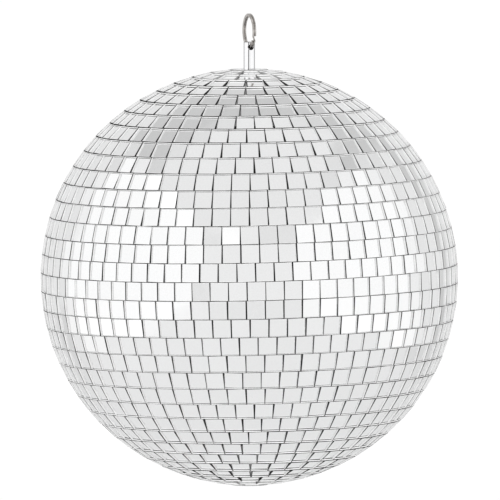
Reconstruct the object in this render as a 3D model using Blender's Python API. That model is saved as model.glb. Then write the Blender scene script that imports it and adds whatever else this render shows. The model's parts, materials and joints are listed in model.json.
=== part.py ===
"""Mirror ball, 300 mm across, hung from a split ring that runs through a cross-drilled steel pin.

The origin is the point inside the top of the ring where a hook bears. +Z is up. The pin's cross hole runs
along Y, and the ball swings about it. The ball is a two-piece moulded core, covered by rows of flat glass
mirror tiles, with the pin clamped through the top of the core by nuts.

Run it with: blender --background --python part.py
"""

import math

import bmesh
import bpy
from mathutils import Vector

MM = 0.001

# Mirror skin
BALL_RADIUS = 150.0 * MM  # to the outermost tile corners
TILE = 12.9 * MM  # side of one square tile
TILE_THICKNESS = 1.6 * MM
ROWS = 35  # latitude rows from pole to pole; the first and the last are the pole tiles
TILE_GAP = 0.33 * MM  # least gap between two tiles of a row
POLE_TILE_RADIUS = 13.15 * MM
ROW_TWIST = math.radians(137.5)  # each row is started this much further round than the one above it
MOST_CORNER_OVERHANG = 0.2 * MM  # how far a row's corners may reach towards the next row
POLE_SIDES = 24

# Moulded core
GLUE = 0.5 * MM
WALL = 2.4 * MM
SPIGOT_HEIGHT = 6.0 * MM
SPIGOT_WALL = 1.8 * MM
SPIGOT_ROOT = 12.0 * MM
FIT_GAP = 0.3 * MM
BOSS_RADIUS = 19.0 * MM
BOSS_TOP = 143.0 * MM  # above the ball's centre
BOSS_UNDERSIDE = 139.0 * MM
RECESS_RADIUS = 8.2 * MM
CORE_SIDES = 36
CORE_ARC_STEPS = 7

# Hanger pin and its fasteners, M8
PIN_RADIUS = 4.0 * MM
PIN_CHAMFER = 0.6 * MM
PIN_TOP_ABOVE_HOLE = 3.4 * MM
PIN_FOOT = 117.0 * MM  # above the ball's centre
HOLE_ABOVE_TILES = 16.0 * MM
HOLE_RADIUS = 2.3 * MM
BORE_RADIUS = 4.3 * MM  # every bore that the pin passes through
NUT_ACROSS_FLATS = 13.0 * MM
THIN_NUT = 4.0 * MM
FULL_NUT = 6.5 * MM
PLATE_RADIUS = 18.0 * MM
PLATE_THICKNESS = 2.0 * MM
SPRING_WASHER_RADIUS = 7.3 * MM
SPRING_WASHER_THICKNESS = 2.0 * MM
SPRING_WASHER_SLIT = 1.2 * MM
ROUND_SIDES = 32

# Split ring, two turns of flat wire
RING_OUTER_RADIUS = 12.7 * MM
WIRE_RADIAL = 2.4 * MM
WIRE_AXIAL = 1.15 * MM
WIRE_CHAMFER = 0.3 * MM
TURN_GAP = 0.12 * MM
RING_SEAT = -0.3 * MM  # the wire's middle, above the hole's axis
CROSSOVER = math.radians(205)  # where the wire steps from one turn to the other
CROSSOVER_HALF = math.radians(8)
END_CLEARANCE = math.radians(3)
WIRE_STEP = math.radians(10)

# Worked out from the above
FACE_RADIUS = math.sqrt(BALL_RADIUS**2 - 2 * (TILE / 2) ** 2)  # to the middle of a tile's face
BACK_RADIUS = FACE_RADIUS - TILE_THICKNESS
CORE_RADIUS = BACK_RADIUS - GLUE
CORE_INNER_RADIUS = CORE_RADIUS - WALL
ROW_ANGLE = math.pi / ROWS
RING_RADIUS = RING_OUTER_RADIUS - WIRE_RADIAL / 2
RING_INNER_RADIUS = RING_OUTER_RADIUS - WIRE_RADIAL
RING_CENTRE_ABOVE_HOLE = RING_RADIUS + RING_SEAT
HOLE_Z = -(RING_CENTRE_ABOVE_HOLE + RING_INNER_RADIUS)
RING_CENTRE_Z = -RING_INNER_RADIUS
BALL_CENTRE_Z = HOLE_Z - HOLE_ABOVE_TILES - FACE_RADIUS
HOLE_ABOVE_CENTRE = HOLE_ABOVE_TILES + FACE_RADIUS


def clear_scene():
    for obj in list(bpy.data.objects):
        bpy.data.objects.remove(obj)


def material(name, colour, roughness, metallic):
    made = bpy.data.materials.new(name)
    made.use_nodes = True
    shader = made.node_tree.nodes["Principled BSDF"]
    shader.inputs["Base Color"].default_value = (*colour, 1.0)
    shader.inputs["Roughness"].default_value = roughness
    shader.inputs["Metallic"].default_value = metallic
    return made


def empty(name, z, parent=None):
    """A bare frame on the ball's axis, z above its parent."""
    made = bpy.data.objects.new(name, None)
    bpy.context.scene.collection.objects.link(made)
    made.parent = parent
    made.location = (0, 0, z)
    return made


def add_object(name, bm, finish, parent, smooth=True):
    """Turns a bmesh into a named object with outward faces."""
    bmesh.ops.recalc_face_normals(bm, faces=bm.faces)
    mesh = bpy.data.meshes.new(name)
    bm.to_mesh(mesh)
    bm.free()
    if smooth:
        mesh.shade_smooth()
        mesh.set_sharp_from_angle(angle=math.radians(30))
    mesh.materials.append(finish)
    made = bpy.data.objects.new(name, mesh)
    bpy.context.scene.collection.objects.link(made)
    made.parent = parent
    return made


def turned(name, profile, sides, finish, parent, smooth=True):
    """A closed profile of (radius, height) points, spun about Z. Points at radius 0 meet on the axis."""
    bm = bmesh.new()
    points = [bm.verts.new((radius, 0, height)) for radius, height in profile]
    edges = [bm.edges.new((a, b)) for a, b in zip(points, points[1:] + points[:1])]
    on_axis = [e for e in edges if all(v.co.x == 0 for v in e.verts)]
    for edge in on_axis:
        edges.remove(edge)
        bm.edges.remove(edge)
    bmesh.ops.spin(
        bm,
        geom=points + edges,
        cent=(0, 0, 0),
        axis=(0, 0, 1),
        angle=2 * math.pi,
        steps=sides,
        use_merge=True,
    )
    bmesh.ops.remove_doubles(bm, verts=bm.verts, dist=0.001 * MM)
    return add_object(name, bm, finish, parent, smooth)


def cylinder(name, radius, depth, sides, finish, parent):
    bm = bmesh.new()
    bmesh.ops.create_cone(
        bm, cap_ends=True, segments=sides, radius1=radius, radius2=radius, depth=depth
    )
    return add_object(name, bm, finish, parent)


def cut(obj, cutter):
    """Subtracts a hidden helper from an object."""
    cutter.hide_render = True
    cutter.display_type = "WIRE"
    modifier = obj.modifiers.new("cut_" + cutter.name, "BOOLEAN")
    modifier.operation = "DIFFERENCE"
    modifier.object = cutter


def arc(radius, start, end, steps):
    """(radius, height) points of a circle about the centre, by angle from the top pole."""
    angles = [start + (end - start) * i / steps for i in range(steps + 1)]
    return [(radius * math.sin(a), radius * math.cos(a)) for a in angles]


def tiles_in_row(polar_angle):
    """How many tiles fit round the middle of a row."""
    return math.floor(2 * math.pi * FACE_RADIUS * math.sin(polar_angle) / (TILE + TILE_GAP))


def sides_of_row(polar_angle, tiles):
    """A whole number of flats for each tile, enough that the row's corners stay clear of the next row."""
    reach = FACE_RADIUS * math.sin(polar_angle) * abs(math.cos(polar_angle))
    needed = math.pi * math.sqrt(reach / (2 * MOST_CORNER_OVERHANG))
    return tiles * max(1, math.ceil(needed / tiles))


def mirror_row(index, finish, parent):
    """One latitude row of flat tiles, as a closed band with a flat for each tile."""
    polar_angle = (index + 0.5) * ROW_ANGLE
    sides = sides_of_row(polar_angle, tiles_in_row(polar_angle))
    out = Vector((math.sin(polar_angle), math.cos(polar_angle)))  # (radius, height)
    down = Vector((math.cos(polar_angle), -math.sin(polar_angle)))
    to_corner = 1 / math.cos(math.pi / sides)
    corners = [
        out * FACE_RADIUS - down * TILE / 2,
        out * FACE_RADIUS + down * TILE / 2,
        out * BACK_RADIUS + down * TILE / 2,
        out * BACK_RADIUS - down * TILE / 2,
    ]
    profile = [(p.x * to_corner, p.y) for p in corners]
    name = f"mirror_row_{index:02d}"
    row = turned(name, profile, sides, finish, parent, smooth=False)
    row.rotation_euler.z = (index * ROW_TWIST) % (2 * math.pi)
    return row


def pole_tile(name, side, bore, finish, parent):
    """The flat tile at a pole: side is 1 at the top, with a bore for the pin, and -1 at the bottom."""
    profile = [
        (bore, side * BACK_RADIUS),
        (POLE_TILE_RADIUS, side * BACK_RADIUS),
        (POLE_TILE_RADIUS, side * FACE_RADIUS),
        (bore, side * FACE_RADIUS),
    ]
    return turned(name, profile, POLE_SIDES, finish, parent, smooth=False)


def upper_core_shell(finish, parent):
    """The upper half of the core, with a boss for the pin and a recess on it for the thin nut."""
    rim = math.asin(RECESS_RADIUS / CORE_RADIUS)
    boss = math.asin(BOSS_RADIUS / CORE_INNER_RADIUS)
    equator = math.pi / 2 - FIT_GAP / 2 / CORE_RADIUS
    profile = arc(CORE_RADIUS, equator, rim, CORE_ARC_STEPS)
    profile += [
        (RECESS_RADIUS, BOSS_TOP),
        (BORE_RADIUS, BOSS_TOP),
        (BORE_RADIUS, BOSS_UNDERSIDE),
        (BOSS_RADIUS, BOSS_UNDERSIDE),
    ]
    profile += arc(CORE_INNER_RADIUS, boss, equator, CORE_ARC_STEPS)
    return turned("upper_core_shell", profile, CORE_SIDES, finish, parent)


def lower_core_shell(finish, parent):
    """The lower half of the core, with a spigot that centres it inside the upper half."""
    equator = math.pi / 2 + FIT_GAP / 2 / CORE_RADIUS
    spigot_root = math.pi / 2 + math.asin(SPIGOT_ROOT / CORE_INNER_RADIUS)
    spigot_outer = CORE_INNER_RADIUS * math.cos(SPIGOT_HEIGHT / CORE_INNER_RADIUS) - FIT_GAP
    spigot_outer *= math.cos(math.pi / 2 / CORE_ARC_STEPS / 2)
    spigot_inner = spigot_outer - SPIGOT_WALL
    profile = [
        (spigot_inner, -SPIGOT_HEIGHT),
        (spigot_inner, SPIGOT_HEIGHT),
        (spigot_outer, SPIGOT_HEIGHT),
        (spigot_outer, -FIT_GAP / 2),
    ]
    outer = arc(CORE_RADIUS, equator, math.pi, CORE_ARC_STEPS)
    inner = arc(CORE_INNER_RADIUS, math.pi, spigot_root, CORE_ARC_STEPS)
    outer[-1] = (0, -CORE_RADIUS)
    inner[0] = (0, -CORE_INNER_RADIUS)
    return turned("lower_core_shell", profile + outer + inner, CORE_SIDES, finish, parent)


def hanger_pin(finish, parent):
    """The steel pin, cross-drilled near its top for the ring."""
    top = HOLE_ABOVE_CENTRE + PIN_TOP_ABOVE_HOLE
    profile = [
        (0, PIN_FOOT),
        (PIN_RADIUS - PIN_CHAMFER, PIN_FOOT),
        (PIN_RADIUS, PIN_FOOT + PIN_CHAMFER),
        (PIN_RADIUS, top - PIN_CHAMFER),
        (PIN_RADIUS - PIN_CHAMFER, top),
        (0, top),
    ]
    pin = turned("hanger_pin", profile, ROUND_SIDES, finish, parent)
    drill = cylinder("cross_drill", HOLE_RADIUS, 3 * PIN_RADIUS, ROUND_SIDES, finish, parent)
    drill.rotation_euler.x = math.pi / 2
    drill.location.z = HOLE_ABOVE_CENTRE
    cut(pin, drill)
    return pin


def washer(name, foot, radius, thickness, finish, parent):
    profile = [
        (BORE_RADIUS, foot),
        (radius, foot),
        (radius, foot + thickness),
        (BORE_RADIUS, foot + thickness),
    ]
    return turned(name, profile, ROUND_SIDES, finish, parent)


def spring_washer(foot, finish, parent):
    made = washer("spring_washer", foot, SPRING_WASHER_RADIUS, SPRING_WASHER_THICKNESS, finish, parent)
    bm = bmesh.new()
    bmesh.ops.create_cube(bm, size=1)
    size = Vector((2 * SPRING_WASHER_RADIUS, SPRING_WASHER_SLIT, 3 * SPRING_WASHER_THICKNESS))
    bmesh.ops.scale(bm, vec=size, verts=bm.verts)
    slit = add_object("spring_washer_slit", bm, finish, parent, smooth=False)
    slit.location = (SPRING_WASHER_RADIUS, 0, foot)
    cut(made, slit)
    return made


def hex_nut(name, foot, height, finish, parent):
    corner_radius = NUT_ACROSS_FLATS / 2 / math.cos(math.pi / 6)
    nut = cylinder(name, corner_radius, height, 6, finish, parent)
    nut.location.z = foot + height / 2
    bore = cylinder(name + "_bore", BORE_RADIUS, 3 * height, ROUND_SIDES, finish, parent)
    bore.location.z = nut.location.z
    cut(nut, bore)
    return nut


def fasteners(finish, parent):
    """What clamps the pin to the boss, from the recess on top of it down to the lock nut inside the ball."""
    hex_nut("recessed_nut", BOSS_TOP + FIT_GAP, THIN_NUT, finish, parent)
    foot = BOSS_UNDERSIDE - FIT_GAP - PLATE_THICKNESS
    washer("spreader_plate", foot, PLATE_RADIUS, PLATE_THICKNESS, finish, parent)
    foot -= FIT_GAP + SPRING_WASHER_THICKNESS
    spring_washer(foot, finish, parent)
    foot -= FIT_GAP + FULL_NUT
    hex_nut("clamp_nut", foot, FULL_NUT, finish, parent)
    foot -= FIT_GAP + FULL_NUT
    hex_nut("lock_nut", foot, FULL_NUT, finish, parent)


def wire_section():
    """The wire's chamfered rectangle, as (axial, radial) points."""
    half_axial = WIRE_AXIAL / 2
    half_radial = WIRE_RADIAL / 2
    short_axial = half_axial - WIRE_CHAMFER
    short_radial = half_radial - WIRE_CHAMFER
    quarter = [(half_axial, short_radial), (short_axial, half_radial)]
    points = []
    for sign_a, sign_r, order in ((1, 1, 1), (-1, 1, -1), (-1, -1, 1), (1, -1, -1)):
        points += [(sign_a * a, sign_r * r) for a, r in quarter[::order]]
    return points


def turn_offset(angle):
    """Which side of the ring the wire lies on: it steps across once, at the crossover."""
    offset = (WIRE_AXIAL + TURN_GAP) / 2
    crossing = CROSSOVER + 2 * math.pi
    share = (angle - crossing + CROSSOVER_HALF) / (2 * CROSSOVER_HALF)
    share = min(1, max(0, share))
    return offset * (2 * share * share * (3 - 2 * share) - 1)


def split_ring(finish):
    """Two turns of flat wire in the YZ plane, side by side, joined by the crossover."""
    start = CROSSOVER + CROSSOVER_HALF + END_CLEARANCE
    end = CROSSOVER + 4 * math.pi - CROSSOVER_HALF - END_CLEARANCE
    steps = round((end - start) / WIRE_STEP)
    section = wire_section()
    bm = bmesh.new()
    loops = []
    for i in range(steps + 1):
        angle = start + (end - start) * i / steps
        x = turn_offset(angle)
        loop = []
        for axial, radial in section:
            radius = RING_RADIUS + radial
            loop.append(bm.verts.new((x + axial, radius * math.cos(angle), radius * math.sin(angle))))
        loops.append(loop)
    count = len(section)
    for near, far in zip(loops, loops[1:]):
        for i in range(count):
            following = (i + 1) % count
            bm.faces.new((near[i], near[following], far[following], far[i]))
    bm.faces.new(loops[0])
    bm.faces.new(loops[-1])
    ring = add_object("split_ring", bm, finish, None)
    ring.location.z = RING_CENTRE_Z
    return ring


def build():
    clear_scene()
    mirror = material("mirror_glass", (0.92, 0.93, 0.94), 0.04, 1.0)
    plastic = material("core_plastic", (0.12, 0.12, 0.13), 0.55, 0.0)
    chrome = material("pin_chrome", (0.80, 0.80, 0.81), 0.10, 1.0)
    nickel = material("ring_nickel", (0.62, 0.60, 0.57), 0.22, 1.0)
    zinc = material("zinc_plate", (0.60, 0.61, 0.62), 0.35, 1.0)

    split_ring(nickel)

    swing_axis = empty("swing_axis", HOLE_Z)
    ball_centre = empty("ball_centre", -HOLE_ABOVE_CENTRE, swing_axis)
    hanger_pin(chrome, ball_centre)
    fasteners(zinc, ball_centre)
    upper_core_shell(plastic, ball_centre)
    lower_core_shell(plastic, ball_centre)
    pole_tile("top_pole_tile", 1, BORE_RADIUS, mirror, ball_centre)
    pole_tile("bottom_pole_tile", -1, 0, mirror, ball_centre)
    for index in range(1, ROWS - 1):
        mirror_row(index, mirror, ball_centre)


build()
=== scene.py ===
"""Mirror ball in a white studio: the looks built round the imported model.

Every row of mirror tiles is made here tile by tile, as cut glass with ground edges, in the place of the
plain band that stands for it in the frame. The surroundings matter as much as the ball does, because a
mirror shows only them: light panels at both sides, overhead, in front and behind, and the dimmer room
between them.

Lengths are in metres, +Z is up, and the ring's plane is YZ.
"""

import json
import math
import random

import bmesh
import bpy
from mathutils import Matrix, Vector

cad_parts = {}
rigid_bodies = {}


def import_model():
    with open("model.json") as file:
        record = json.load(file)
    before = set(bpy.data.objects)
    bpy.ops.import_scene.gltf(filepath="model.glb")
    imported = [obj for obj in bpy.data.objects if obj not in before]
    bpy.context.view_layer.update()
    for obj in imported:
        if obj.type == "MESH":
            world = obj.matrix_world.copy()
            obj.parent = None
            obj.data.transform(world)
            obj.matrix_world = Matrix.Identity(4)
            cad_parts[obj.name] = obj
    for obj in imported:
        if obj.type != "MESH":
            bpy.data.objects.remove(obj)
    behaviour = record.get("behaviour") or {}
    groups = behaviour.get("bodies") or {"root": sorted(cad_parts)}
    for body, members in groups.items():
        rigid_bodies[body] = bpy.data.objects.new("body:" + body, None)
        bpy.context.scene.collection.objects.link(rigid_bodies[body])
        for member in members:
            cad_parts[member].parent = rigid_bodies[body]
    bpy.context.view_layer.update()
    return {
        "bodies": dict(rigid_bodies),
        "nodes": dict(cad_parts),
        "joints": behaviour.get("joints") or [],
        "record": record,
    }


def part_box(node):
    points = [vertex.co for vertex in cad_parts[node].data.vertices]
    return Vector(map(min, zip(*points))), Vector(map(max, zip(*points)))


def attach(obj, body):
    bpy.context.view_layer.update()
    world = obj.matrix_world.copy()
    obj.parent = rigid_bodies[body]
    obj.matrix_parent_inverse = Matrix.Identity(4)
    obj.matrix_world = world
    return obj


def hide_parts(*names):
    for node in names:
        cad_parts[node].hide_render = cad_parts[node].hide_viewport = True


MM = 0.001
WELD = 0.001 * MM  # points closer than this are one point

# Mirror tiles, with each span as its least and its most
TILE = 12.9 * MM
TILE_THICKNESS = 1.6 * MM
TILE_GAP = 0.33 * MM
CORNER_GAP = 0.3 * MM  # the least that is left between two tiles' corners on the pole's side
TILE_SINK = 0.12 * MM  # the front edges lie this far inside the frame's, so a tilted corner stays inside
WIDTH_TRIM = (0.05 * MM, 0.35 * MM)  # what the cutter took off a tile
HEIGHT_TRIM = (-0.12 * MM, 0.14 * MM)
POLE_TRIM = 1.1 * MM  # what more it took off the height at the poles, and less and less away from them
RIM = (0.08 * MM, 0.20 * MM)  # the glass's ground front edge
SILVER_DEPTH = (0.90 * MM, 1.20 * MM)  # how far the silver seems to lie below the front edge
DARK_SHARE = (0.20, 0.40)  # the share of the glass's edge, from the silver up, that takes the side colour
RIM_COLOUR_DEPTH = (0.01 * MM, 0.08 * MM)  # how far down its outer side a tile keeps its front rim's colour
POLE_SIDES = 48
LAST_ROW = 33
ROW_TWIST = math.radians(137.5)
JOINT_JITTER = 0.14 * MM
SINK_JITTER = 0.12 * MM
TILT_JITTER = math.radians(0.42)
LEAN_JITTER = math.radians(0.25)  # shared by a whole row
SPIN_JITTER = math.radians(0.55)
ROW_SLOPE = math.radians(1.2)  # the rows climb to the camera's right, most at the equator
TILE_TONE = (0.965, 1.0)
SEED = 12
ADHESIVE_DEPTH = 1.8 * MM  # from the tiles' front edges down to the adhesive between them
ADHESIVE_SIDES = 128
PALE_LATITUDE = math.radians(50)  # beyond it the adhesive has its own pale colour, and nearer the equator it is painted shade
LIGHT_SIDE_LATITUDE = math.radians(75)  # beyond it the tiles' sides are lighter

# Hanger pin
PIN_SIDES = 96
PIN_EDGE = 0.6 * MM
PIN_EDGE_STEPS = 5
PIN_CLEARANCE = 0.3 * MM  # in the pole tile's bore
HOLE_RADIUS = 2.3 * MM
HOLE_SIDES = 64
SEAM_WIDTH = 0.5 * MM
SEAM_DEPTH = 0.7 * MM
SEAM_BEARING = math.radians(-25.6)

# Split ring
WIRE_RADIAL = 2.4 * MM
WIRE_AXIAL = 1.15 * MM
WIRE_ROUND = 0.45 * MM
TURN_GAP = 0.12 * MM
CROSSOVER = math.radians(205)
CROSSOVER_HALF = math.radians(8)
END_CLEARANCE = math.radians(3)
WIRE_STEP = math.radians(2)
CORNER_STEPS = 4

# Camera, a long way off with a long lens
AZIMUTH = math.radians(-18.4)
ELEVATION = math.radians(3.9)
CAMERA_DISTANCE = 15.0
SENSOR = 36.0
FRAME_WIDTH = 0.3591  # what the picture's width covers at the ball
AIM_ABOVE_CENTRE = 0.0194
AIM_RIGHT = 0.0005

# Studio
FLOOR_DROP = 0.62
FLOOR_RADIUS = 5.0
FLOOR_SIDES = 128
ROOM_RADIUS = 40.0
ROOM_RADIANCE = 0.66
PANEL_LAYERS = ((1.06, 0.35), (1.0, 0.35), (0.9, 0.3))  # size and share of the light, outermost first
LAYER_SPACING = 0.02
MATT_LIGHT_SIDE = 4.0
FLOOR_LIGHT_ABOVE = 1.5
EDGE_LIGHT_DISTANCE = 3.6
WHITE_RADIANCE = 1.02


def new_material(name):
    """A new material, its node tree and its Principled shader."""
    made = bpy.data.materials.new(name)
    made.use_nodes = True
    tree = made.node_tree
    shader = tree.nodes["Principled BSDF"]
    return made, tree, shader


def noise(tree, scale, detail=2.0, roughness=0.5):
    """Noise over the object's own coordinates."""
    coordinates = tree.nodes.new("ShaderNodeTexCoord")
    texture = tree.nodes.new("ShaderNodeTexNoise")
    texture.inputs["Scale"].default_value = scale
    texture.inputs["Detail"].default_value = detail
    texture.inputs["Roughness"].default_value = roughness
    tree.links.new(coordinates.outputs["Object"], texture.inputs["Vector"])
    return texture.outputs["Fac"]


def ramp(tree, value, low, high):
    """Maps 0.3..0.7 of a noise to low..high."""
    mapped = tree.nodes.new("ShaderNodeMapRange")
    mapped.inputs["From Min"].default_value = 0.3
    mapped.inputs["From Max"].default_value = 0.7
    mapped.inputs["To Min"].default_value = low
    mapped.inputs["To Max"].default_value = high
    tree.links.new(value, mapped.inputs["Value"])
    return mapped.outputs["Result"]


def grey_mix(tree, value, dark, light):
    """A colour between dark and light, by value."""
    mix = tree.nodes.new("ShaderNodeMix")
    mix.data_type = "RGBA"
    mix.inputs["A"].default_value = (*dark, 1)
    mix.inputs["B"].default_value = (*light, 1)
    tree.links.new(value, mix.inputs["Factor"])
    return mix.outputs["Result"]


def bump(tree, shader, value, strength, distance):
    node = tree.nodes.new("ShaderNodeBump")
    node.inputs["Strength"].default_value = strength
    node.inputs["Distance"].default_value = distance
    tree.links.new(value, node.inputs["Height"])
    tree.links.new(node.outputs["Normal"], shader.inputs["Normal"])


def mirror_material():
    """Silvered glass: each tile has its own slight tone, and the silvering a fine haze."""
    made, tree, shader = new_material("silvered_glass")
    shader.inputs["Metallic"].default_value = 1.0
    tone = tree.nodes.new("ShaderNodeAttribute")
    tone.attribute_name = "tile_tone"
    haze = ramp(tree, noise(tree, 900, 3), 0.0, 1.0)
    colour = grey_mix(tree, haze, (0.845, 0.848, 0.850), (0.875, 0.878, 0.880))
    multiply = tree.nodes.new("ShaderNodeVectorMath")
    multiply.operation = "MULTIPLY"
    tree.links.new(colour, multiply.inputs[0])
    tree.links.new(tone.outputs["Color"], multiply.inputs[1])
    tree.links.new(multiply.outputs["Vector"], shader.inputs["Base Color"])
    tree.links.new(ramp(tree, noise(tree, 260, 2), 0.015, 0.05), shader.inputs["Roughness"])
    return made


def glass_edge_material(name, dark, light):
    """The glass's own edges, frosted by grinding, which scatter white; the pale grey copy beside the silver
    is painted shade.
    """
    made, tree, shader = new_material(name)
    colour = grey_mix(tree, noise(tree, 1400, 2), (dark, dark, dark), (light, light, light))
    tree.links.new(colour, shader.inputs["Base Color"])
    tree.links.new(ramp(tree, noise(tree, 700, 2), 0.18, 0.34), shader.inputs["Roughness"])
    shader.inputs["IOR"].default_value = 1.52
    return made


def adhesive_material(name, dark, light):
    """Adhesive between the tiles, blotched between two greys."""
    made, tree, shader = new_material(name)
    colour = grey_mix(tree, noise(tree, 420, 4), (dark, dark, dark), (light, light, light))
    tree.links.new(colour, shader.inputs["Base Color"])
    shader.inputs["Roughness"].default_value = 0.7
    bump(tree, shader, noise(tree, 600, 3), 0.5, 0.0003)
    return made


def chrome_material():
    """Bright chrome, with faint turning marks round the pin, and painted shade along its sides."""
    made, tree, shader = new_material("bright_chrome")
    shader.inputs["Metallic"].default_value = 1.0
    coordinates = tree.nodes.new("ShaderNodeTexCoord")
    stretch = tree.nodes.new("ShaderNodeMapping")
    stretch.inputs["Scale"].default_value = (60, 60, 5200)
    marks = tree.nodes.new("ShaderNodeTexNoise")
    marks.inputs["Scale"].default_value = 1.0
    tree.links.new(coordinates.outputs["Object"], stretch.inputs["Vector"])
    tree.links.new(stretch.outputs["Vector"], marks.inputs["Vector"])
    colour = grey_mix(tree, noise(tree, 500, 3), (0.80, 0.80, 0.81), (0.92, 0.92, 0.925))
    tree.links.new(colour, shader.inputs["Base Color"])
    tree.links.new(ramp(tree, marks.outputs["Fac"], 0.03, 0.08), shader.inputs["Roughness"])
    # A near-black edge tint: painted shade that darkens the chrome toward the pin's sides.
    shader.inputs["Specular Tint"].default_value = (0.02, 0.02, 0.02, 1)
    bump(tree, shader, marks.outputs["Fac"], 0.12, 0.00004)
    return made


def recess_shade_material():
    """Near black inside the pin's hole and seam: painted shade in those recesses."""
    made, tree, shader = new_material("painted_shade_recess")
    colour = grey_mix(tree, noise(tree, 900, 3), (0.006, 0.006, 0.006), (0.03, 0.028, 0.026))
    tree.links.new(colour, shader.inputs["Base Color"])
    shader.inputs["Roughness"].default_value = 0.7
    return made


def nickel_material():
    """Warm grey nickel plate on drawn wire, rubbed brighter in places."""
    made, tree, shader = new_material("nickel_plate")
    shader.inputs["Metallic"].default_value = 1.0
    worn = noise(tree, 380, 4, 0.6)
    colour = grey_mix(tree, ramp(tree, worn, 0.0, 1.0), (0.24, 0.22, 0.205), (0.60, 0.575, 0.55))
    tree.links.new(colour, shader.inputs["Base Color"])
    tree.links.new(ramp(tree, worn, 0.26, 0.12), shader.inputs["Roughness"])
    bump(tree, shader, noise(tree, 2200, 2), 0.15, 0.00003)
    return made


def zinc_material():
    made, tree, shader = new_material("zinc_plate")
    shader.inputs["Metallic"].default_value = 1.0
    spangle = noise(tree, 300, 3)
    colour = grey_mix(tree, spangle, (0.50, 0.51, 0.53), (0.70, 0.70, 0.69))
    tree.links.new(colour, shader.inputs["Base Color"])
    tree.links.new(ramp(tree, spangle, 0.25, 0.45), shader.inputs["Roughness"])
    return made


def core_material():
    made, tree, shader = new_material("moulded_core")
    colour = grey_mix(tree, noise(tree, 90, 3), (0.020, 0.020, 0.022), (0.040, 0.040, 0.043))
    tree.links.new(colour, shader.inputs["Base Color"])
    shader.inputs["Roughness"].default_value = 0.6
    bump(tree, shader, noise(tree, 1200, 2), 0.3, 0.0001)
    return made


def side_material(name, dark, light):
    """The tiles' sides, blotched between two greys: dark away from the poles and lighter near them."""
    made, tree, shader = new_material(name)
    colour = grey_mix(tree, noise(tree, 800, 3), (dark, dark, dark), (light, light, light))
    tree.links.new(colour, shader.inputs["Base Color"])
    shader.inputs["Roughness"].default_value = 0.5
    return made


def add_mesh(name, bm, materials, smooth_angle=None):
    mesh = bpy.data.meshes.new(name)
    bm.to_mesh(mesh)
    bm.free()
    if smooth_angle is not None:
        mesh.shade_smooth()
        mesh.set_sharp_from_angle(angle=math.radians(smooth_angle))
    for finish in materials:
        mesh.materials.append(finish)
    made = bpy.data.objects.new(name, mesh)
    bpy.context.scene.collection.objects.link(made)
    return made


def compass(bearing, elevation=0.0):
    """The direction of a bearing, counted as the camera's azimuth is: 0 is -Y."""
    level = math.cos(elevation)
    return Vector((math.sin(bearing) * level, -math.cos(bearing) * level, math.sin(elevation)))


def paint(faces, tone_layer, finish, tone):
    for face in faces:
        face.material_index = finish
        for loop in face.loops:
            loop[tone_layer] = (tone, tone, tone, 1.0)


SILVER, EDGE, SIDE, FLANK = 0, 1, 2, 3  # a tile's material slots
WALLS = (SIDE, EDGE, EDGE, EDGE, SIDE)  # above and below the silver, from the tile's back to its face
WALLS_BESIDE = (SIDE, SIDE, SIDE, FLANK, FLANK)  # left and right, where the greyer flank copy of the white edge is painted shade


def between(draw, span):
    low, high = span
    return low + (high - low) * draw.random()


def add_tile(bm, tone_layer, place, draw, height, room_above, room_below):
    """A glass tile looking along place's +Z, which takes the tile's axes to the frame's. Its upper and lower
    edges are no longer than the room for them, so it is cut narrower toward the pole.

    The silver is on the back of the clear glass, so it is seen sunk below the front edge, inside the walls
    of the glass's own edge. Above and below it those walls are ground white, and dark from the
    silver up. Beside it they are a greyer copy of that white, painted shade, and the dark is along their
    front edge."""
    x = (TILE - between(draw, WIDTH_TRIM)) / 2
    y = (height - between(draw, HEIGHT_TRIM)) / 2
    left, lower, right, upper = (between(draw, RIM) for _ in range(4))
    depth = between(draw, SILVER_DEPTH)
    above, below = min(x, room_above / 2), min(x, room_below / 2)
    outer = [(-below, -y), (below, -y), (above, y), (-above, y)]
    inner = [
        (left - below, lower - y),
        (below - right, lower - y),
        (above - right, y - upper),
        (left - above, y - upper),
    ]
    dark_levels = [-depth * (1 - between(draw, DARK_SHARE)) for _ in range(4)]
    levels = (
        (outer, [-TILE_THICKNESS] * 4),
        (outer, [-between(draw, RIM_COLOUR_DEPTH) for _ in range(4)]),
        (outer, [0.0] * 4),
        (inner, [0.0] * 4),
        (inner, dark_levels),
        (inner, [-depth] * 4),
    )
    loops = [[bm.verts.new(place @ Vector((*p, z))) for p, z in zip(*level)] for level in levels]
    for near, far, finish, beside in zip(loops, loops[1:], WALLS, WALLS_BESIDE):
        band = [bm.faces.new((near[i - 1], near[i], far[i], far[i - 1])) for i in range(4)]
        paint(band[1::2], tone_layer, finish, 1.0)
        paint(band[::2], tone_layer, beside, 1.0)
    paint([bm.faces.new(loops[0][::-1])], tone_layer, SIDE, 1.0)
    paint([bm.faces.new(loops[-1])], tone_layer, SILVER, between(draw, TILE_TONE))


class Ball:
    """The ball's measures, read off the frame."""

    def __init__(self):
        low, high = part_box("bottom_pole_tile")[0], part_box("top_pole_tile")[1]
        self.centre = Vector((0, 0, (low.z + high.z) / 2))
        self.face_radius = (high.z - low.z) / 2
        self.pole_radius = high.x
        self.toward_camera = compass(AZIMUTH)

    def place(self, polar, around, radius, slope=0.0):
        """The transform that stands a tile on the ball, its own +Y up the row."""
        lean = Matrix.Rotation(slope, 4, self.toward_camera)
        turn = Matrix.Rotation(around, 4, "Z") @ Matrix.Rotation(polar, 4, "Y")
        upright = Matrix.Rotation(math.pi / 2, 4, "Z")
        lift = Matrix.Translation((0, 0, radius))
        return Matrix.Translation(self.centre) @ lean @ turn @ lift @ upright


def row_polar(index):
    """The angle from the top pole to a row's middle."""
    return (index + 0.5) * math.pi / (LAST_ROW + 2)


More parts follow.
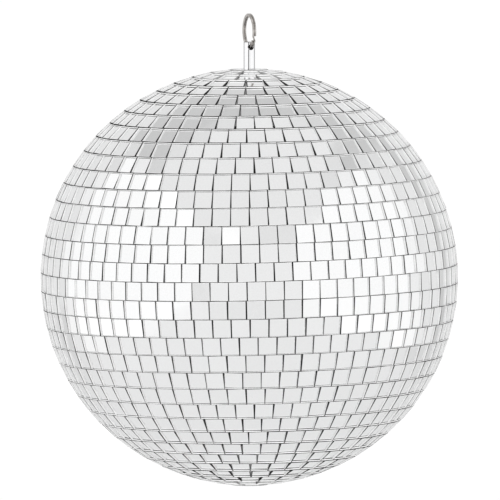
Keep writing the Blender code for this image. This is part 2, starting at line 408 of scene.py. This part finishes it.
def tile_row(ball, index, draw, finishes):
    """One latitude row of separate tiles, laid with a hand's unevenness."""
    polar = row_polar(index)
    reach = ball.face_radius * math.sin(polar)
    count = math.floor(2 * math.pi * reach / (TILE + TILE_GAP))
    start = (index * ROW_TWIST) % (2 * math.pi)
    slope = ROW_SLOPE * math.sin(polar)
    row_lean = draw.gauss(0, LEAN_JITTER)
    height = TILE - POLE_TRIM * math.cos(polar) ** 4
    taper = height / 2 * math.cos(polar)
    room_above, room_below = (
        2 * math.pi * edge / count - CORNER_GAP for edge in (reach - taper, reach + taper)
    )
    bm = bmesh.new()
    tone_layer = bm.loops.layers.float_color.new("tile_tone")
    for i in range(count):
        shift = between(draw, (-JOINT_JITTER, JOINT_JITTER)) / (TILE + TILE_GAP)
        around = start + (i + shift) * 2 * math.pi / count
        radius = ball.face_radius - TILE_SINK - between(draw, (0, SINK_JITTER))
        faults = (
            Matrix.Rotation(draw.gauss(0, SPIN_JITTER), 4, "Z")
            @ Matrix.Rotation(draw.gauss(row_lean, TILT_JITTER), 4, "X")
            @ Matrix.Rotation(draw.gauss(0, TILT_JITTER), 4, "Y")
        )
        place = ball.place(polar, around, radius, slope) @ faults
        add_tile(bm, tone_layer, place, draw, height, room_above, room_below)
    row = add_mesh(f"tiles_row_{index:02d}", bm, finishes)
    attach(row, "ball")
    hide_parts(f"mirror_row_{index:02d}")
    return row


def pole_tile(ball, name, node, polar, bore, finishes):
    """A round tile, with a bore through it where bore isn't 0."""
    radius, rim, depth = ball.pole_radius, max(RIM), min(SILVER_DEPTH)
    profile = [
        (bore, -TILE_THICKNESS, SIDE),
        (radius, -TILE_THICKNESS, SIDE),
        (radius, 0.0, EDGE),
        (radius - rim, 0.0, EDGE),
        (radius - rim, -depth, SILVER),
        (bore, -depth, SIDE),
    ]
    place = ball.place(polar, 0.0, ball.face_radius - TILE_SINK)
    bm = bmesh.new()
    tone_layer = bm.loops.layers.float_color.new("tile_tone")
    rings = []
    for r, z, _ in profile:
        if r == 0:
            rings.append([bm.verts.new(place @ Vector((0, 0, z)))])
            continue
        angles = [2 * math.pi * i / POLE_SIDES for i in range(POLE_SIDES)]
        rings.append([bm.verts.new(place @ Vector((r * math.cos(a), r * math.sin(a), z))) for a in angles])
    for index, (_, _, finish) in enumerate(profile):
        one, other = rings[index], rings[(index + 1) % len(rings)]
        if len(one) == len(other) == 1:
            continue
        made = []
        for i in range(POLE_SIDES):
            j = (i + 1) % POLE_SIDES
            corners = [one[i % len(one)], one[j % len(one)], other[j % len(other)], other[i % len(other)]]
            made.append(bm.faces.new(list(dict.fromkeys(corners))))
        paint(made, tone_layer, finish, 1.0)
    bmesh.ops.recalc_face_normals(bm, faces=bm.faces)
    tile = add_mesh(name, bm, finishes, 30)
    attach(tile, "ball")
    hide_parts(node)
    return tile


def adhesive_layer(ball, finishes):
    """The adhesive that shows between the tiles, open at the top for the pin. It keeps its own pale colour
    in the wide joints near the poles, and away from them it is painted dark, as the shade of the narrow
    joints."""
    bm = bmesh.new()
    radius = ball.face_radius - ADHESIVE_DEPTH
    bmesh.ops.create_uvsphere(bm, u_segments=ADHESIVE_SIDES, v_segments=ADHESIVE_SIDES // 2, radius=radius)
    pin_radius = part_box("hanger_pin")[1].x
    round_pin = [v for v in bm.verts if v.co.z > 0 and v.co.xy.length < pin_radius]
    bmesh.ops.delete(bm, geom=round_pin, context="VERTS")
    for face in bm.faces:
        # Faces near the poles take the pale adhesive; the rest take the dark one, which is painted shade.
        face.material_index = abs(face.calc_center_median().z) > radius * math.sin(PALE_LATITUDE)
    bmesh.ops.translate(bm, verts=bm.verts, vec=ball.centre)
    layer = add_mesh("adhesive_layer", bm, finishes, 60)
    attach(layer, "ball")


# The second slot is painted shade inside the hole and the seam.
PLATED, RECESS_SHADE = 0, 1  # the pin's material slots


def helper(name, bm):
    """A cutter for a Boolean, which is removed once it has cut."""
    return add_mesh(name, bm, [])


def cut_away(obj, cutters):
    """Cuts the helpers from obj and applies the result to its mesh."""
    for cutter in cutters:
        modifier = obj.modifiers.new(cutter.name, "BOOLEAN")
        modifier.object = cutter
    depsgraph = bpy.context.evaluated_depsgraph_get()
    mesh = bpy.data.meshes.new_from_object(obj.evaluated_get(depsgraph))
    obj.modifiers.clear()
    obj.data = mesh
    for cutter in cutters:
        bpy.data.objects.remove(cutter)


def hanger_pin(ring, finishes):
    """The pin: rounded top edge, cross hole, and the seam down its side."""
    low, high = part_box("hanger_pin")
    radius = high.x
    profile = [(0, low.z), (radius, low.z)]
    for i in range(PIN_EDGE_STEPS + 1):
        a = math.pi / 2 * i / PIN_EDGE_STEPS
        profile.append((radius - PIN_EDGE * (1 - math.cos(a)), high.z - PIN_EDGE * (1 - math.sin(a))))
    profile.append((0, high.z))
    bm = bmesh.new()
    points = [bm.verts.new((r, 0, z)) for r, z in profile]
    edges = [bm.edges.new(pair) for pair in zip(points, points[1:])]
    bmesh.ops.spin(
        bm,
        geom=points + edges,
        cent=(0, 0, 0),
        axis=(0, 0, 1),
        angle=2 * math.pi,
        steps=PIN_SIDES,
        use_merge=True,
    )
    bmesh.ops.remove_doubles(bm, verts=bm.verts, dist=WELD)
    bmesh.ops.recalc_face_normals(bm, faces=bm.faces)
    pin = add_mesh("pin", bm, finishes)

    hole = bmesh.new()
    along = Matrix.Translation((0, 0, ring.hole_z)) @ Matrix.Rotation(math.pi / 2, 4, "X")
    bmesh.ops.create_cone(
        hole,
        cap_ends=True,
        segments=HOLE_SIDES,
        radius1=HOLE_RADIUS,
        radius2=HOLE_RADIUS,
        depth=4 * radius,
        matrix=along,
    )
    seam = bmesh.new()
    length = high.z - low.z
    turn = Matrix.Rotation(SEAM_BEARING, 4, "Z") @ Matrix.Translation((0, -radius, (low.z + high.z) / 2))
    slit = Matrix.Diagonal((SEAM_WIDTH, 2 * SEAM_DEPTH, 2 * length, 1))
    bmesh.ops.create_cube(seam, size=1, matrix=turn @ slit)
    cut_away(pin, [helper("pin_hole_cutter", hole), helper("pin_seam_cutter", seam)])
    # Faces inside the hole and the seam get the near-black painted shade.
    for face in pin.data.polygons:
        inside = face.center.xy.length < radius - PIN_EDGE
        face.material_index = RECESS_SHADE if inside and low.z < face.center.z < high.z - PIN_EDGE else PLATED
    pin.data.shade_smooth()
    pin.data.set_sharp_from_angle(angle=math.radians(35))
    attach(pin, "ball")
    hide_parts("hanger_pin")


class Ring:
    """The split ring's measures, read off the frame."""

    def __init__(self, frame):
        low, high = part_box("split_ring")
        self.outer = (high.z - low.z) / 2
        self.centre_z = (high.z + low.z) / 2
        self.hole_z = frame["joints"][0]["pos_m"][2]


def wire_section():
    """The drawn wire's round-cornered section, as (axial, radial) points."""
    points = []
    for quarter in range(4):
        start = quarter * math.pi / 2
        sign_a = 1 if quarter in (0, 3) else -1
        sign_r = 1 if quarter in (0, 1) else -1
        for i in range(CORNER_STEPS + 1):
            a = start + math.pi / 2 * i / CORNER_STEPS
            points.append((
                sign_a * (WIRE_AXIAL / 2 - WIRE_ROUND) + WIRE_ROUND * math.cos(a),
                sign_r * (WIRE_RADIAL / 2 - WIRE_ROUND) + WIRE_ROUND * math.sin(a),
            ))
    return points


def turn_offset(angle):
    """Which side of the ring the wire lies on at an angle: it steps across once."""
    share = (angle - CROSSOVER - 2 * math.pi + CROSSOVER_HALF) / (2 * CROSSOVER_HALF)
    share = min(1, max(0, share))
    return (WIRE_AXIAL + TURN_GAP) / 2 * (2 * share * share * (3 - 2 * share) - 1)


def split_ring(ring, finish):
    """Two turns of wire side by side, joined by the crossover."""
    start = CROSSOVER + CROSSOVER_HALF + END_CLEARANCE
    end = CROSSOVER + 4 * math.pi - CROSSOVER_HALF - END_CLEARANCE
    steps = round((end - start) / WIRE_STEP)
    section = wire_section()
    middle = ring.outer - WIRE_RADIAL / 2
    bm = bmesh.new()
    loops = []
    for i in range(steps + 1):
        angle = start + (end - start) * i / steps
        loop = []
        for axial, radial in section:
            r = middle + radial
            place = (turn_offset(angle) + axial, r * math.cos(angle), ring.centre_z + r * math.sin(angle))
            loop.append(bm.verts.new(place))
        loops.append(loop)
    for near, far in zip(loops, loops[1:]):
        for i in range(len(section)):
            j = (i + 1) % len(section)
            bm.faces.new((near[i], near[j], far[j], far[i]))
    bm.faces.new(loops[0])
    bm.faces.new(loops[-1])
    bmesh.ops.recalc_face_normals(bm, faces=bm.faces)
    made = add_mesh("key_ring", bm, [finish], 40)
    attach(made, "ring")
    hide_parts("split_ring")


def assign(frame, finish, *names):
    for name in names:
        node = frame["nodes"][name]
        node.data.materials.clear()
        node.data.materials.append(finish)


def floor(ball):
    """A pale round floor under the ball."""
    bm = bmesh.new()
    bmesh.ops.create_circle(bm, cap_ends=True, segments=FLOOR_SIDES, radius=FLOOR_RADIUS)
    drop = ball.centre.z - ball.face_radius - FLOOR_DROP
    bmesh.ops.translate(bm, verts=bm.verts, vec=(0, 0, drop))
    made, tree, shader = new_material("studio_floor")
    colour = grey_mix(tree, noise(tree, 3, 2), (0.91, 0.91, 0.91), (0.94, 0.94, 0.94))
    tree.links.new(colour, shader.inputs["Base Color"])
    shader.inputs["Roughness"].default_value = 0.9
    add_mesh("floor", bm, [made])


def room(ball):
    """The dim room beyond the light panels. Like a lamp, it shows in mirrors but not to the camera."""
    bm = bmesh.new()
    bmesh.ops.create_icosphere(bm, subdivisions=4, radius=ROOM_RADIUS)
    bmesh.ops.translate(bm, verts=bm.verts, vec=ball.centre)
    made, tree, shader = new_material("dim_room")
    shader.inputs["Base Color"].default_value = (0, 0, 0, 1)
    shader.inputs["Emission Color"].default_value = (1, 1, 1, 1)
    shader.inputs["Emission Strength"].default_value = ROOM_RADIANCE
    walls = add_mesh("studio_room", bm, [made])
    walls.visible_camera = False


def area_light(name, size, radiance):
    """A rectangular light. Its power is its radiance times its area times pi."""
    data = bpy.data.lights.new(name, "AREA")
    data.shape = "RECTANGLE"
    data.size, data.size_y = size
    data.energy = radiance * size[0] * size[1] * math.pi
    lamp = bpy.data.objects.new(name, data)
    lamp.rotation_mode = "QUATERNION"
    bpy.context.scene.collection.objects.link(lamp)
    return lamp


def panel(name, ball, centre, facing, size, radiance):
    """A flat soft light, brightest in its middle. centre is (right, behind, above) the ball, as the camera
    sees it, and facing is the way that it shines. In a mirror it adds to the room behind it."""
    turn = Matrix.Rotation(AZIMUTH, 3, "Z")
    facing = turn @ Vector(facing)
    for layer, (share, part) in enumerate(PANEL_LAYERS):
        lamp = area_light(f"{name}_{layer}", [share * side for side in size], part * radiance)
        lamp.location = ball.centre + turn @ Vector(centre) + layer * LAYER_SPACING * facing
        lamp.rotation_quaternion = facing.to_track_quat("-Z", "Y")


def matt_light(name, location, facing, radiance):
    """A light that mirrors don't show: only rough surfaces take it."""
    lamp = area_light(name, (MATT_LIGHT_SIDE, MATT_LIGHT_SIDE), radiance)
    lamp.location = location
    lamp.rotation_quaternion = facing.to_track_quat("-Z", "Y")
    lamp.visible_glossy = False
    return lamp


def lighting(ball, tiles):
    """Bright boxes at both sides, softer light overhead and in front, and a backdrop that reaches further
    round on the left. The room shows between them. One light reaches only the tiles."""
    panel("right_box", ball, (1.6, -1.4, 0.44), (-1, 0, 0), (3.7, 2.5), 0.46)
    panel("left_box", ball, (-1.6, -1.15, 0.44), (1, 0, 0), (4.1, 2.5), 0.46)
    panel("right_fill", ball, (1.6, 0.9, 0.35), (-1, 0, 0), (1.0, 2.2), 0.24)
    panel("top_light", ball, (-0.1, -1.4, 1.72), (0, 0, -1), (3.45, 3.3), 0.27)
    panel("front_light", ball, (0, -3.4, 0.5), (0, 1, 0), (3.4, 2.8), 0.31)
    panel("backdrop_light", ball, (-1.2, 2.6, 1.1), (0, -1, 0), (6.0, 3.8), 0.23)
    up, toward = Vector((0, 0, 1)), ball.toward_camera
    matt_light("floor_light", ball.centre + FLOOR_LIGHT_ABOVE * up, -up, 0.08)
    edge_light = matt_light("edge_light", ball.centre + EDGE_LIGHT_DISTANCE * toward, -toward, 1.6)
    glass = bpy.data.collections.new("cut_edges")
    for obj in tiles:
        glass.objects.link(obj)
    edge_light.light_linking.receiver_collection = glass
    world = bpy.data.worlds.new("white")
    bpy.context.scene.world = world
    world.use_nodes = True
    background = world.node_tree.nodes["Background"]
    background.inputs["Color"].default_value = (1, 1, 1, 1)
    background.inputs["Strength"].default_value = WHITE_RADIANCE


def camera(ball):
    data = bpy.data.cameras.new("camera")
    data.sensor_width = SENSOR
    data.lens = SENSOR * CAMERA_DISTANCE / FRAME_WIDTH
    data.clip_end = 10 * CAMERA_DISTANCE
    made = bpy.data.objects.new("camera", data)
    back = compass(AZIMUTH, ELEVATION)
    right = Matrix.Rotation(AZIMUTH, 3, "Z") @ Vector((1, 0, 0))
    aim = ball.centre + Vector((0, 0, AIM_ABOVE_CENTRE)) + right * AIM_RIGHT
    made.location = aim + back * CAMERA_DISTANCE
    made.rotation_mode = "QUATERNION"
    made.rotation_quaternion = (-back).to_track_quat("-Z", "Y")
    bpy.context.scene.collection.objects.link(made)
    bpy.context.scene.camera = made


def main():
    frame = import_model()
    scene = bpy.context.scene
    scene.view_settings.view_transform = "Standard"
    ball, ring = Ball(), Ring(frame)
    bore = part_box("hanger_pin")[1].x + PIN_CLEARANCE

    silver, edge = mirror_material(), glass_edge_material("cut_glass_edge", 0.955, 0.99)
    # The greyer flank copy of the cut edge is painted shade.
    flank = glass_edge_material("flank_painted_shade_edge", 0.78, 0.86)
    glass = [silver, edge, side_material("dark_side_glass", 0.006, 0.05), flank]
    light_sided_glass = [silver, edge, side_material("pale_side_glass", 0.25, 0.6), flank]
    draw = random.Random(SEED)
    tiles = []
    for index in range(1, LAST_ROW + 1):
        latitude = abs(math.pi / 2 - row_polar(index))
        tiles.append(tile_row(ball, index, draw, light_sided_glass if latitude > LIGHT_SIDE_LATITUDE else glass))
    tiles.append(pole_tile(ball, "tile_top", "top_pole_tile", 0.0, bore, light_sided_glass))
    tiles.append(pole_tile(ball, "tile_bottom", "bottom_pole_tile", math.pi, 0.0, light_sided_glass))
    # The dark adhesive is painted shade of the narrow joints.
    painted_shade_adhesive = adhesive_material("painted_shade_adhesive", 0.008, 0.045)
    adhesive_layer(ball, [painted_shade_adhesive, adhesive_material("pale_adhesive", 0.4, 0.8)])
    hanger_pin(ring, [chrome_material(), recess_shade_material()])
    split_ring(ring, nickel_material())
    fasteners = ("recessed_nut", "spreader_plate", "spring_washer", "clamp_nut", "lock_nut")
    assign(frame, zinc_material(), *fasteners)
    assign(frame, core_material(), "upper_core_shell", "lower_core_shell")

    floor(ball)
    room(ball)
    lighting(ball, tiles)
    camera(ball)


main()
